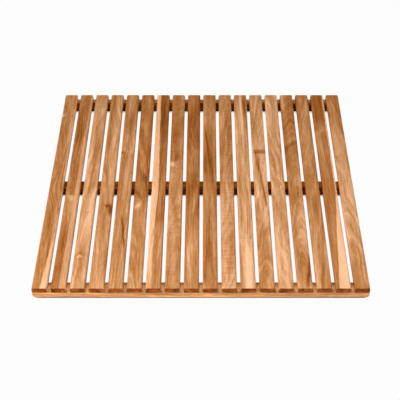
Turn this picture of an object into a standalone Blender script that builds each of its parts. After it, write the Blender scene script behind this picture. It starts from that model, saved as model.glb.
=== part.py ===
"""Slatted teak bath mat: eighteen slats screwed from below to three cross rails.

Metres, +Z up, the front of the mat towards -Y. The origin is on the floor, under
the middle of the mat, and slats are numbered from -X to +X.

Every screw hole comes from one drill pattern, so the slats, the rails and the
screws always line up, whatever sizes are set below.
"""
import math

import bmesh
import bpy
from mathutils import Matrix

# Slats, which run front to back and are walked on
SLAT_COUNT = 18
SLAT_WIDTH = 0.0272
SLAT_LENGTH = 0.600
SLAT_THICKNESS = 0.011
SLAT_GAP = 0.0065
SLAT_TOP_ROUND = 0.0032
SLAT_LOWER_ROUND = 0.0020

# Rails, which run from side to side under the slats
RAIL_NAMES = ("front", "middle", "back")
RAIL_WIDTH = 0.027
RAIL_THICKNESS = 0.011
RAIL_TOP_ROUND = 0.0008
RAIL_LOWER_ROUND = 0.0040
RAIL_END_ROUND = 0.0055
RAIL_END_INSET = 0.0003

# Rubber grip strips, let into a groove in the underside of each rail
STRIP_WIDTH = 0.010
STRIP_THICKNESS = 0.0040
STRIP_STANDS_PROUD = 0.0022
STRIP_END_MARGIN = 0.018
STRIP_ROUND = 0.0008

# Countersunk wood screws, 3.5 x 16 mm, one at each crossing of a slat and a rail
SCREW_LENGTH = 0.016
SCREW_RADIUS = 0.00175
SCREW_HEAD_RADIUS = 0.0035
SCREW_HEAD_HEIGHT = 0.0020
SCREW_TIP_LENGTH = 0.0035
SCREW_SIDES = 8
# The holes of the middle rail take the same screws, which are not modelled here
RAILS_WITH_SCREWS = ("front", "back")

# Clearances
TOUCH_GAP = 0.0003
HOLE_CLEARANCE = 0.0003
HOLE_END_CLEARANCE = 0.0006
CUT_OVERRUN = 0.001

# Worked out from the sizes above
SLAT_PITCH = SLAT_WIDTH + SLAT_GAP
MAT_WIDTH = SLAT_COUNT * SLAT_WIDTH + (SLAT_COUNT - 1) * SLAT_GAP
FIRST_SLAT_X = (SLAT_WIDTH - MAT_WIDTH) / 2
FIRST_RAIL_Y = (RAIL_WIDTH - SLAT_LENGTH) / 2
RAIL_SPACING = (SLAT_LENGTH - RAIL_WIDTH) / (len(RAIL_NAMES) - 1)
RAIL_BOTTOM = STRIP_STANDS_PROUD
RAIL_TOP = RAIL_BOTTOM + RAIL_THICKNESS
SLAT_BOTTOM = RAIL_TOP + TOUCH_GAP
GROOVE_ROOF = STRIP_THICKNESS + TOUCH_GAP
STRIP_LENGTH = MAT_WIDTH - 2 * STRIP_END_MARGIN
SCREW_FACE = GROOVE_ROOF
SCREW_TOP = SCREW_FACE + SCREW_LENGTH

# Finishes: base colour in sRGB, roughness, metallic
FINISHES = {
    "pale teak": ((0.84, 0.64, 0.44), 0.55, 0.0),
    "golden teak": ((0.77, 0.55, 0.35), 0.55, 0.0),
    "brown teak": ((0.66, 0.43, 0.25), 0.55, 0.0),
    "black rubber": ((0.05, 0.05, 0.05), 0.80, 0.0),
    "stainless steel": ((0.72, 0.72, 0.70), 0.30, 1.0),
}
# One letter for each slat from -X to +X: Pale, Golden or Brown
SLAT_TONES = "GGPGGBPGBGPPGPBGPG"
TONE_FINISH = {"P": "pale teak", "G": "golden teak", "B": "brown teak"}


def clear_scene():
    for existing in list(bpy.data.objects):
        bpy.data.objects.remove(existing, do_unlink=True)


def new_collection(name):
    collection = bpy.data.collections.new(name)
    bpy.context.scene.collection.children.link(collection)
    return collection


def linear(channel):
    """One sRGB colour channel as the linear value that a shader takes."""
    if channel <= 0.04045:
        return channel / 12.92
    return ((channel + 0.055) / 1.055) ** 2.4


def give_finish(piece, finish):
    colour, roughness, metallic = FINISHES[finish]
    material = bpy.data.materials.new(f"{piece.name} {finish}")
    material.use_nodes = True
    shader = material.node_tree.nodes["Principled BSDF"]
    shader.inputs["Base Color"].default_value = (*[linear(c) for c in colour], 1.0)
    shader.inputs["Roughness"].default_value = roughness
    shader.inputs["Metallic"].default_value = metallic
    piece.data.materials.clear()
    piece.data.materials.append(material)
    material.diffuse_color = (*colour, 1.0)


def edge_position(edge):
    """Which axis a bar's edge runs along, and whether it is on the upper side."""
    start, end = (vertex.co for vertex in edge.verts)
    run = [abs(a - b) for a, b in zip(start, end)]
    return "XYZ"[run.index(max(run))], start.z + end.z > 0


def bar_mesh(name, size, rounds):
    """A bar about its own centre, with a bevel weight on each edge in rounds.

    rounds gives a radius for (axis the edge runs along, True for the upper side).
    """
    body = bmesh.new()
    bmesh.ops.create_cube(body, size=1.0, matrix=Matrix.Diagonal((*size, 1.0)))
    weight = body.edges.layers.float.new("bevel_weight_edge")
    largest = max(rounds.values())
    for edge in body.edges:
        edge[weight] = rounds.get(edge_position(edge), 0.0) / largest
    mesh = bpy.data.meshes.new(name)
    body.to_mesh(mesh)
    body.free()
    return mesh


def add_object(name, mesh, place, collection):
    piece = bpy.data.objects.new(name, mesh)
    piece.location = place
    collection.objects.link(piece)
    return piece


def round_edges(piece, rounds, segments):
    bevel = piece.modifiers.new("Rounded edges", "BEVEL")
    bevel.limit_method = "WEIGHT"
    bevel.width = max(rounds.values())
    bevel.segments = segments


def cut(piece, cutter):
    boolean = piece.modifiers.new(f"Cut by {cutter.name}", "BOOLEAN")
    boolean.operation = "DIFFERENCE"
    boolean.solver = "EXACT"
    boolean.object = cutter


def as_cutter(tool):
    tool.hide_render = True
    tool.display_type = "WIRE"


def turned_mesh(name, profile):
    """An open outline of (radius, height) points, top to bottom, ready to be turned."""
    points = [(radius, 0.0, height) for radius, height in profile]
    edges = [(i, i + 1) for i in range(len(points) - 1)]
    mesh = bpy.data.meshes.new(name)
    mesh.from_pydata(points, edges, [])
    return mesh


def turn(piece):
    screw = piece.modifiers.new("Turned", "SCREW")
    screw.axis = "Z"
    screw.angle = 2 * math.pi
    screw.steps = SCREW_SIDES
    screw.render_steps = SCREW_SIDES
    screw.use_merge_vertices = True
    screw.merge_threshold = 0.00001


def repeat(piece, count, offset):
    array = piece.modifiers.new("Repeated", "ARRAY")
    array.count = count
    array.use_relative_offset = False
    array.use_constant_offset = True
    array.constant_offset_displace = offset


def make_drill_pattern(collection):
    """The hole at every crossing: a countersink, then one bore into rail and slat."""
    bore = SCREW_RADIUS + HOLE_CLEARANCE
    mouth = SCREW_HEAD_RADIUS + HOLE_CLEARANCE
    profile = [
        (0.0, SCREW_TOP + HOLE_END_CLEARANCE),
        (bore, SCREW_TOP + HOLE_END_CLEARANCE),
        (bore, SCREW_FACE + SCREW_HEAD_HEIGHT),
        (mouth, SCREW_FACE),
        (mouth, SCREW_FACE - CUT_OVERRUN),
        (0.0, SCREW_FACE - CUT_OVERRUN),
    ]
    first_crossing = (FIRST_SLAT_X, FIRST_RAIL_Y, 0.0)
    pattern = add_object("drill_pattern", turned_mesh("drill bit", profile), first_crossing, collection)
    turn(pattern)
    repeat(pattern, SLAT_COUNT, (SLAT_PITCH, 0.0, 0.0))
    repeat(pattern, len(RAIL_NAMES), (0.0, RAIL_SPACING, 0.0))
    as_cutter(pattern)
    return pattern


def make_slats(collection, drill_pattern):
    rounds = {("Y", True): SLAT_TOP_ROUND, ("Y", False): SLAT_LOWER_ROUND}
    mesh = bar_mesh("slat", (SLAT_WIDTH, SLAT_LENGTH, SLAT_THICKNESS), rounds)
    slats = []
    for index in range(SLAT_COUNT):
        place = (FIRST_SLAT_X + index * SLAT_PITCH, 0.0, SLAT_BOTTOM + SLAT_THICKNESS / 2)
        slat = add_object(f"slat_{index + 1:02d}", mesh.copy(), place, collection)
        round_edges(slat, rounds, segments=3)
        cut(slat, drill_pattern)
        give_finish(slat, TONE_FINISH[SLAT_TONES[index % len(SLAT_TONES)]])
        slats.append(slat)
    bpy.data.meshes.remove(mesh)
    return slats


def make_groove_cutter(rail_name, rail_y, collection):
    """The stopped groove that a grip strip is pressed into."""
    depth = GROOVE_ROOF - RAIL_BOTTOM + CUT_OVERRUN
    size = (STRIP_LENGTH + 2 * TOUCH_GAP, STRIP_WIDTH + 2 * TOUCH_GAP, depth)
    body = bmesh.new()
    bmesh.ops.create_cube(body, size=1.0, matrix=Matrix.Diagonal((*size, 1.0)))
    mesh = bpy.data.meshes.new("groove")
    body.to_mesh(mesh)
    body.free()
    place = (0.0, rail_y, GROOVE_ROOF - depth / 2)
    groove = add_object(f"groove_{rail_name}", mesh, place, collection)
    as_cutter(groove)
    return groove


def make_rail(rail_name, rail_y, collection, groove, drill_pattern):
    rounds = {
        ("X", True): RAIL_TOP_ROUND,
        ("X", False): RAIL_LOWER_ROUND,
        ("Y", False): RAIL_END_ROUND,
    }
    size = (MAT_WIDTH - 2 * RAIL_END_INSET, RAIL_WIDTH, RAIL_THICKNESS)
    place = (0.0, rail_y, RAIL_BOTTOM + RAIL_THICKNESS / 2)
    rail = add_object(f"rail_{rail_name}", bar_mesh("rail", size, rounds), place, collection)
    round_edges(rail, rounds, segments=3)
    cut(rail, groove)
    cut(rail, drill_pattern)
    give_finish(rail, "golden teak")
    return rail


def make_strip(rail_name, rail_y, collection):
    rounds = {("X", False): STRIP_ROUND, ("Y", False): STRIP_ROUND}
    size = (STRIP_LENGTH, STRIP_WIDTH, STRIP_THICKNESS)
    place = (0.0, rail_y, STRIP_THICKNESS / 2)
    strip = add_object(f"grip_strip_{rail_name}", bar_mesh("grip strip", size, rounds), place, collection)
    round_edges(strip, rounds, segments=1)
    give_finish(strip, "black rubber")
    return strip


def make_screws(rail_name, rail_y, collection):
    profile = [
        (0.0, SCREW_TOP),
        (SCREW_RADIUS, SCREW_TOP - SCREW_TIP_LENGTH),
        (SCREW_RADIUS, SCREW_FACE + SCREW_HEAD_HEIGHT),
        (SCREW_HEAD_RADIUS, SCREW_FACE),
        (0.0, SCREW_FACE),
    ]
    screws = []
    for index in range(SLAT_COUNT):
        place = (FIRST_SLAT_X + index * SLAT_PITCH, rail_y, 0.0)
        name = f"screw_{rail_name}_{index + 1:02d}"
        screw = add_object(name, turned_mesh("screw", profile), place, collection)
        turn(screw)
        give_finish(screw, "stainless steel")
        screws.append(screw)
    return screws


def main():
    clear_scene()
    mat = new_collection("bath_mat")
    cutters = new_collection("cutters")
    drill_pattern = make_drill_pattern(cutters)
    pieces = make_slats(mat, drill_pattern)
    for index, rail_name in enumerate(RAIL_NAMES):
        rail_y = FIRST_RAIL_Y + index * RAIL_SPACING
        groove = make_groove_cutter(rail_name, rail_y, cutters)
        pieces.append(make_rail(rail_name, rail_y, mat, groove, drill_pattern))
        pieces.append(make_strip(rail_name, rail_y, mat))
        if rail_name in RAILS_WITH_SCREWS:
            pieces += make_screws(rail_name, rail_y, mat)
    centre = add_object("bath_mat_centre", None, (0.0, 0.0, 0.0), mat)
    for piece in pieces:
        piece.parent = centre


main()
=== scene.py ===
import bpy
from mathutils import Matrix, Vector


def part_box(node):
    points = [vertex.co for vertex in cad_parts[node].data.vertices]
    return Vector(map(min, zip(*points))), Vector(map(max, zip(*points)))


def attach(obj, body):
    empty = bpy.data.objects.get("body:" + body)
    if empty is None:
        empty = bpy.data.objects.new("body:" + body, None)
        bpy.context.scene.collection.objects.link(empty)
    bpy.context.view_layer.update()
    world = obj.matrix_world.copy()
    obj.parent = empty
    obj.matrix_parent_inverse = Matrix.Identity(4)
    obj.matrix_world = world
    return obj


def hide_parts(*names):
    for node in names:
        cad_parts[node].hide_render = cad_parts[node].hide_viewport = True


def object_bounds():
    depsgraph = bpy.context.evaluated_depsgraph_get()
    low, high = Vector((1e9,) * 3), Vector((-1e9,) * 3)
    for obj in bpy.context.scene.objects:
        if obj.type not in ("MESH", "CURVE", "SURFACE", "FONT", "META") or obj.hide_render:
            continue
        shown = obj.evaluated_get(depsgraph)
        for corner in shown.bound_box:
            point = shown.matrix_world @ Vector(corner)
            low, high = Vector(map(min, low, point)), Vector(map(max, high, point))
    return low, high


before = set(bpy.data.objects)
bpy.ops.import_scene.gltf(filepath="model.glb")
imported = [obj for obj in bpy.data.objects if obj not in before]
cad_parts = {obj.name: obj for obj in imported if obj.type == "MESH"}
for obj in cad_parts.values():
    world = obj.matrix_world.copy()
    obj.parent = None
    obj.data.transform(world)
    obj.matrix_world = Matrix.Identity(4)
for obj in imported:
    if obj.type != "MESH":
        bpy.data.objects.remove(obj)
"""Slatted teak bath mat: the timber, the grip strips, the screws and a plain studio.

Each piece is modelled where the frame says it is: slats run along Y, rails along X,
+Z is up and the front of the mat is towards -Y.
"""
import math

import bmesh
import bpy
from mathutils import Vector

bl_info = {
    "name": "Slatted teak bath mat",
    "version": (1, 0, 0),
    "blender": (4, 5, 0),
    "location": "3D View > Sidebar > Bath mat",
    "description": "Builds a slatted teak bath mat with its screws, grip strips and studio",
    "category": "Add Mesh",
}

BODY = "root"
MM = 0.001
CAD_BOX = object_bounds()
SLAT_NODES = sorted(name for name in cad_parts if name.startswith("slat_"))
RAIL_PLACES = ("front", "middle", "back")
SCREWED_RAILS = ("front", "back")

# Where along Y the slats' back ends are
BACK_END = 0.3
SLAT_SIZE = Vector(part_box(SLAT_NODES[0])[1]) - Vector(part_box(SLAT_NODES[0])[0])

# Sides of a screw's head and of its thread, the depth of its cross recess, and the recess's
# span as a share of the thread's radius
HEAD_SIDES = 24
THREAD_SIDES = 10
RECESS_DEPTH = 1.4 * MM
RECESS_SPAN = 2.2

# Teak as sRGB hex, by tone: very pale, -0.5, pale, 0, golden, 0.5, dark, 1, and knots, 1.5
TONES = ((-0.5, "#DDAD87"), (0.0, "#C28F64"), (0.5, "#A77141"), (1.0, "#935722"), (1.5, "#743D12"))
# A darker, redder palette for the middle and back rails, its darkest stop for their painted shade, and a
# duller one for the front rail
DEEP_TONES = ((-0.5, "#C78E5D"), (0.0, "#B67C48"), (0.5, "#985A20"), (1.0, "#6E3406"), (1.6, "#381802"))
FRONT_TONES = ((-0.5, "#E1AC7C"), (0.0, "#C78F57"), (0.7, "#956945"), (1.5, "#743D12"))
# Sapwood and sawn ends, by the tone of their figure alone
SAPWOOD = ((0.0, "#E6B48C"), (1.0, "#CB9768"))
END_GRAIN = ((0.15, "#824820"), (0.85, "#481E08"))
# Painted highlight along a slat's rounded long edges and painted light on its sides, as tone added by how far
# its surface turns to the side: 0 on top, 1 on the side
PAINTED_EDGE_LIGHT = ((0.15, 0.0), (0.4, -0.45), (0.7, -0.45), (0.9, -0.1))

# Sizes of the timber's figure in millimetres: across the grain, along it. Real fibres and
# pores are about 0.2 mm across, too fine to show, so they are drawn four to six times wider.
BAND = (12, 180)
RING = (3.2, 300)
LINE = (1.5, 110)
RIPPLE = (40, 5)
FIBRE = (1.1, 22)
PORE = (0.8, 12)
WANDER = (45, 150)
FEATHER = (5, 40)
# How far the grain wanders sideways, and how far a mark's edge is feathered, in metres
WANDER_BY = (0.012, 0.0, 0.012)
FEATHER_BY = (0.0045, 0.016, 0.0)
# Metres along the figure: to the timber beyond a joint, and from one piece to the next
BEYOND_JOINT = 1.3
APART = 3.7
# A mark is even in its middle and then falls away
MARK_BLUNTNESS = 1.5
MARK_FALL = -0.8
# Keeps the width of vanishing sapwood above zero, in millimetres
SAP_SPARE = 2


def slat_look(tones, joint=None, sap=None, marks=(), **figure):
    """How one slat's timber looks, with places along it in mm from its back end.

    tones are (place, tone) along the slat, from 0, pale, to 1, dark. joint is where two
    lengths of timber meet. sap is (side, strength, ((place, mm of sapwood), ...)), side
    being -1 on the left and 1 on the right. Each mark is (mm right of the middle, place,
    half width, half length, lean, tone added to the wood).
    """
    look = {"tones": tones, "joint": joint, "sap": sap, "marks": marks, "pith": (30, 60), "lean": 0.0,
            "dive": 0.03, "rings": 0.7, "lines": 1.6, "ripple": 0.0, "colours": TONES}
    look.update(figure)
    return look


# From the left of the mat to the right
SLAT_LOOKS = (
    # Slat 1, the left edge seen from the front
    slat_look(
        ((0, 0.62), (80, 0.5), (84, 0.55), (150, 0.5), (220, 0.55), (270, 0.65), (420, 0.58), (600, 0.68)),
        joint=82, sap=(1, 0.95, ((450, -2), (520, 3), (600, 9))), pith=(-18, 30), lean=0.012, rings=1.1,
        marks=((-11, 78, 3, 9, 0, -0.5), (-5, 30, 2, 40, -0.05, 0.35), (-2, 150, 5, 40, -0.05, 0.2),
               (5, 190, 2.2, 50, -0.08, -0.3)),
    ),
    # Slat 2
    slat_look(
        ((0, 0.6), (110, 0.75), (150, 0.92), (190, 0.72), (338, 0.66), (344, 0.4), (400, 0.5), (470, 1.0),
         (540, 0.95), (600, 0.75)),
        joint=342, sap=(1, 0.5, ((60, 0), (180, 3.5), (400, 6), (600, 9.5))), pith=(-40, 30),
        marks=((0, 352, 7, 9, 0.3, -0.4), (-8, 460, 2, 60, 0, -0.15)),
    ),
    # Slat 3
    slat_look(
        ((0, 0.2), (60, 0.22), (200, 0.32), (260, 0.08), (330, 0.0), (412, 0.15), (520, 0.1), (600, 0.2)),
        pith=(20, 70), lean=0.01, rings=0.5,
        marks=((8, 170, 3, 50, -0.06, 0.3), (2, 260, 3.2, 60, -0.06, 0.35),
               (-3, 350, 2.8, 70, -0.04, 0.3), (-6, 450, 2, 50, -0.02, 0.2), (0, 396, 9, 1.5, 0, 0.3),
               (-4, 516, 8, 9, -0.2, 0.6), (-3, 517, 5, 4.5, -0.2, -1.0), (6, 500, 3, 14, -0.3, -0.2)),
    ),
    # Slat 4
    slat_look(
        ((0, 0.35), (100, 0.45), (200, 0.32), (330, 0.32), (370, 0.45), (450, 0.42), (600, 0.25)),
        pith=(-22, 40),
        marks=((-6, 30, 1.6, 70, -0.03, 0.45), (1, 120, 4, 130, 0.02, -0.25),
               (8, 290, 1.8, 60, 0.05, -0.3), (4, 376, 5, 4.5, 0.3, 0.9), (10, 386, 3.5, 13, 0, 1.3),
               (0, 320, 3, 70, 0.08, 0.35), (6, 520, 2.5, 80, 0, -0.2), (-1, 500, 1.5, 70, -0.01, 0.2)),
    ),
    # Slat 5
    slat_look(
        ((0, 0.4), (100, 0.65), (130, 0.6), (160, 0.4), (200, 0.4), (230, 0.42), (330, 0.35), (420, 0.45),
         (600, 0.45)),
        pith=(25, 55), rings=1.0,
        marks=((-10, 208, 2.2, 5, 0, 1.0), (-3, 200, 3, 16, 0.3, -0.3), (7, 470, 1.5, 45, 0.08, 1.0),
               (3, 440, 1.4, 32, 0.08, 0.8), (6, 170, 2, 30, 0.1, 0.3), (0, 290, 2, 50, 0.03, -0.3)),
    ),
    # Slat 6
    slat_look(
        ((0, 0.66), (100, 0.78), (230, 0.8), (300, 0.75), (345, 0.72), (362, 0.42), (420, 0.38),
         (500, 0.64), (540, 0.6), (565, 0.36), (600, 0.3)),
        joint=360, pith=(-12, 50), lean=-0.01, rings=1.0,
        marks=((3, 285, 5, 22, 0.25, 0.5), (9, 310, 3, 30, 0, 0.4), (-6, 340, 5, 20, 0.5, 0.5),
               (4, 360, 6, 14, -0.5, -0.2), (-5, 376, 6, 6, -0.6, -0.45), (-1, 30, 3, 40, 0, 0.2)),
    ),
    # Slat 7
    slat_look(
        ((0, 1.1), (80, 1.25), (130, 1.15), (220, 1.0), (300, 0.75), (370, 0.78), (415, 0.95),
         (440, 0.62), (520, 0.5), (600, 0.48)),
        sap=(-1, 0.95, ((0, 5), (130, 6), (280, 9.5), (370, 9), (430, 5), (480, -3), (600, -3))),
        pith=(28, 26), rings=1.1,
        marks=((3, 90, 3.5, 40, 0, 0.25), (4, 410, 4, 16, 0, 0.2), (11, 200, 1.5, 150, 0, -0.3),
               (-9, 520, 5, 110, 0, -0.7), (3, 540, 1.2, 50, 0, 0.35), (10, 500, 2, 70, 0, -0.2)),
    ),
    # Slat 8
    slat_look(
        ((0, 0.65), (100, 0.72), (232, 0.66), (237, 0.35), (255, 0.4), (265, 0.46), (300, 0.36),
         (600, 0.32)),
        joint=236, pith=(10, 75), ripple=0.5, rings=0.4, lines=1.1,
        marks=((-9, 246, 6, 9, 0.6, -0.6), (6, 250, 8, 8, 0.4, 0.15)),
    ),
    # Slat 9
    slat_look(
        ((0, 0.76), (60, 0.9), (110, 1.0), (150, 1.1), (190, 0.95), (205, 0.72), (260, 0.82), (295, 1.05),
         (330, 1.1), (365, 0.8), (440, 0.5), (500, 0.4), (560, 0.6), (600, 0.6)),
        pith=(-25, 45), lean=-0.015, rings=0.9,
        marks=((6, 350, 4, 50, -0.12, -0.6), (-4, 335, 4, 40, -0.12, 0.35), (9, 292, 2, 3, 0, -0.5),
               (-4, 520, 4, 60, 0, -0.25), (-9, 440, 2, 60, 0, 0.15), (5, 250, 3, 60, 0.1, 0.1)),
    ),
    # Slat 10
    slat_look(
        ((0, 0.62), (100, 0.32), (150, 0.64), (240, 0.82), (300, 0.65), (400, 0.44), (450, 0.52),
         (500, 0.62), (600, 0.5)),
        pith=(-14, 34), lean=0.008, rings=1.1, lines=1.1,
        marks=((-5, 190, 2.0, 65, 0.07, 0.6), (-8, 250, 3.5, 45, 0.03, 0.45),
               (2, 250, 1.2, 60, 0.08, 0.5), (8, 300, 1.2, 50, 0.08, 0.4), (3, 60, 3, 30, 0, -0.3),
               (-7, 470, 0.9, 90, 0, 0.35), (-1, 430, 0.9, 90, 0, 0.3), (4, 500, 1.2, 90, 0, 0.3),
               (9, 230, 1.5, 80, 0, -0.15), (-10, 560, 2, 30, 0, 0.3)),
    ),
    # Slat 11
    slat_look(
        ((0, 0.6), (110, 0.36), (135, 0.4), (200, 0.52), (250, 0.46), (330, 0.24), (400, 0.2),
         (520, 0.26), (600, 0.1)),
        pith=(15, 80), ripple=0.7, rings=0.4,
        marks=((6, 580, 5, 30, 0, -0.2), (0, 470, 8, 30, 0, 0.12), (-3, 200, 4, 60, 0, 0.12)),
    ),
    # Slat 12
    slat_look(
        ((0, 0.32), (60, 0.15), (140, 0.05), (180, 0.18), (250, 0.1), (350, 0.14), (420, 0.33),
         (466, 0.16), (470, 0.15), (600, 0.02)),
        joint=468, pith=(-30, 35), rings=0.7,
        marks=((7, 40, 3.5, 45, -0.02, 1.0), (0, 60, 3.5, 60, 0, -0.3), (2, 190, 4, 110, 0, -0.15),
               (-8, 330, 2, 90, 0, 0.2), (7, 360, 2.5, 50, 0.02, 0.15), (1, 400, 4, 40, 0.03, -0.3),
               (1, 550, 7.5, 82, 0.01, -0.85), (-12, 540, 3, 60, 0, 0.4)),
    ),
    # Slat 13
    slat_look(
        ((0, 0.28), (110, 0.22), (196, 0.0), (199, 0.75), (209, 0.7), (213, -0.32), (250, -0.18),
         (300, 0.06), (350, 0.18), (440, 0.4), (600, 0.42)),
        joint=205, pith=(20, 40), lean=-0.06, rings=0.9,
        marks=((-13, 204, 3, 8, 0, -0.6), (-4, 130, 1.5, 60, 0.12, 0.25), (4, 100, 1.5, 60, 0.12, 0.2),
               (-1, 270, 2.4, 70, 0.1, 0.7), (-5, 350, 3, 50, 0.08, -0.5), (6, 350, 1.8, 50, 0.1, 0.7),
               (8, 450, 2.2, 60, 0.06, -0.35), (-2, 560, 5, 50, 0, 0.1)),
    ),
    # Slat 14
    slat_look(
        ((0, 0.12), (60, -0.02), (180, 0.12), (250, 0.22), (330, 0.22), (380, 0.34), (480, 0.12),
         (600, -0.15)),
        pith=(-20, 90), lean=0.02, rings=0.4,
        marks=((-5, 268, 1.6, 26, 0.4, -0.4), (2, 292, 1.6, 20, 0.5, -0.5), (8, 315, 1.5, 10, -0.8, -0.4),
               (2, 180, 5, 60, 0, 0.08), (-4, 305, 3, 14, 0.5, 0.15)),
    ),
    # Slat 15
    slat_look(
        ((0, 0.85), (100, 0.85), (230, 0.82), (290, 0.54), (335, 0.75), (365, 0.55), (385, 0.18),
         (450, 0.1), (520, 0.3), (600, 0.14)),
        pith=(3, 26), dive=0.09, rings=1.0,
        marks=((-9, 20, 3, 60, 0, -0.4), (3, 170, 1.5, 120, 0.04, 0.15), (0, 445, 5, 1.6, 0, -0.15),
               (0, 455, 7, 2.5, 0, 0.15), (0, 464, 8, 2.5, 0, -0.15), (0, 474, 9, 3, 0, 0.1),
               (10, 545, 3, 30, -0.1, 0.8), (6, 578, 3.5, 26, -0.2, 0.8), (4, 338, 1.5, 12, 0, 0.5),
               (-3, 348, 1.2, 10, 0, 0.5)),
    ),
    # Slat 16
    slat_look(
        ((0, 0.92), (80, 0.55), (140, 0.5), (190, 0.55), (240, 0.54), (290, 0.66), (340, 0.66),
         (400, 0.5), (440, 0.3), (520, 0.3), (600, 0.36)),
        pith=(22, 70), rings=0.7,
        marks=((-9, 340, 2, 60, 0.04, -0.3), (0, 50, 6, 20, 0.3, 0.1), (5, 500, 2, 60, 0, -0.12)),
    ),
    # Slat 17
    slat_look(
        ((0, 1.05), (90, 1.0), (128, 0.6), (133, 0.4), (144, 0.45), (150, 0.68), (220, 0.85), (300, 0.82),
         (420, 0.84), (600, 0.65)),
        joint=134, sap=(1, 1.1, ((340, -0.5), (360, 1.2), (600, 17.5))), pith=(-40, 30), rings=0.8,
        marks=((-11, 50, 2.5, 60, 0, -0.35), (12, 60, 2.5, 70, 0, -0.35), (0, 80, 5, 25, 0, 0.15),
               (0, 205, 8, 3, 0, -0.1)),
    ),
    # Slat 18, the right edge seen from the front
    slat_look(
        ((0, 0.8), (60, 0.8), (120, 0.6), (200, 0.3), (250, 0.2), (330, 0.05), (420, 0.05), (480, 0.3),
         (600, 0.52)),
        pith=(-10, 60), rings=0.8,
        marks=((5, 40, 1.8, 60, 0, 0.35), (-6, 60, 2, 50, 0.02, 0.2), (0, 280, 4, 110, 0, -0.2),
               (9, 200, 1.5, 120, 0, 0.15), (4, 530, 1.2, 70, 0, 0.35), (-4, 560, 1.2, 40, 0, 0.25)),
    ),
)

RAIL_LOOKS = {
    # The front rail's pale band along the front of its top is a painted highlight, where light reaches it
    # between the slats
    "front": slat_look(((0, 0.72), (300, 0.64), (600, 0.74)), pith=(12, 40), rings=0.6, colours=FRONT_TONES,
                       marks=((2, 300, 8, 3000, 0, -1.15),)),
    # The middle rail's dark band along its front face is painted shade under the slats
    "middle": slat_look(((0, 0.75), (600, 0.75)), pith=(-14, 50), rings=0.5, colours=DEEP_TONES,
                        marks=((14, 300, 3, 3000, 0, 0.8),)),
    # The back rail's pale band on the rear of its top is painted light, and its dark band at the front
    # painted shade
    "back": slat_look(((0, 0.8), (250, 0.7), (600, 0.8)), pith=(16, 36), rings=0.7, colours=DEEP_TONES,
                      marks=((-10, 300, 8, 3000, 0, -1.5), (14, 300, 6, 3000, 0, 0.6))),
}

# Brightness of the studio's walls, of its ceiling and of the floor's glow on the mat
WALLS = 0.15
CEILING = 0.02
FLOOR_GLOW = 0.45
WHITE = (1.0, 1.0, 1.0, 1.0)

# Painted shade on the floor from ambient occlusion where the mat closes it in: reach, samples, share of open
# sky at dark and at light, dark, light
FOOT_SHADE = (20 * MM, 32, 0.29, 0.38, 0.0, 0.98)
UNDER_SHADE = (90 * MM, 24, 0.0, 0.05, 0.25, 1.0)

FLOOR_WIDTH = 14
FLOOR_DROP = 0.2 * MM
SENSOR_MM = 36
LENS_MM = 94.345
LENS_SHIFT = -0.0144

# Softboxes round the mat: (name, place, size in metres, watts)
SOFTBOXES = (
    ("left softbox", (-1.5, -1.5, 1.0), 0.9, 68),
    ("right softbox", (1.9, -0.2, 0.9), 0.9, 22),
    ("front softbox", (0.0, -2.1, 0.9), 0.9, 18),
    ("overhead softbox", (0.0, -0.3, 1.9), 1.0, 19),
)


# --------------------------------------------------------------------------- settings


class MatTimberSettings(bpy.types.PropertyGroup):
    """Shapes of the slats and the rails"""

    top_round: bpy.props.FloatProperty(
        name="Slat top rounding", description="Radius of a slat's upper long edges",
        default=3.2 * MM, min=0.0, subtype="DISTANCE", unit="LENGTH")
    lower_round: bpy.props.FloatProperty(
        name="Slat lower rounding", description="Radius of a slat's lower long edges",
        default=2.0 * MM, min=0.0, subtype="DISTANCE", unit="LENGTH")
    end_round: bpy.props.FloatProperty(
        name="Slat end rounding", description="Radius round a slat's sawn ends",
        default=0.8 * MM, min=0.0, subtype="DISTANCE", unit="LENGTH")
    rail_lower_round: bpy.props.FloatProperty(
        name="Rail lower rounding", description="Radius of a rail's lower long edges",
        default=4.0 * MM, min=0.0, subtype="DISTANCE", unit="LENGTH")
    rail_end_round: bpy.props.FloatProperty(
        name="Rail end rounding", description="Radius of a rail's lower end corners",
        default=5.5 * MM, min=0.0, subtype="DISTANCE", unit="LENGTH")
    rail_top_round: bpy.props.FloatProperty(
        name="Rail top rounding", description="Radius of a rail's other edges",
        default=0.8 * MM, min=0.0, subtype="DISTANCE", unit="LENGTH")


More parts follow.
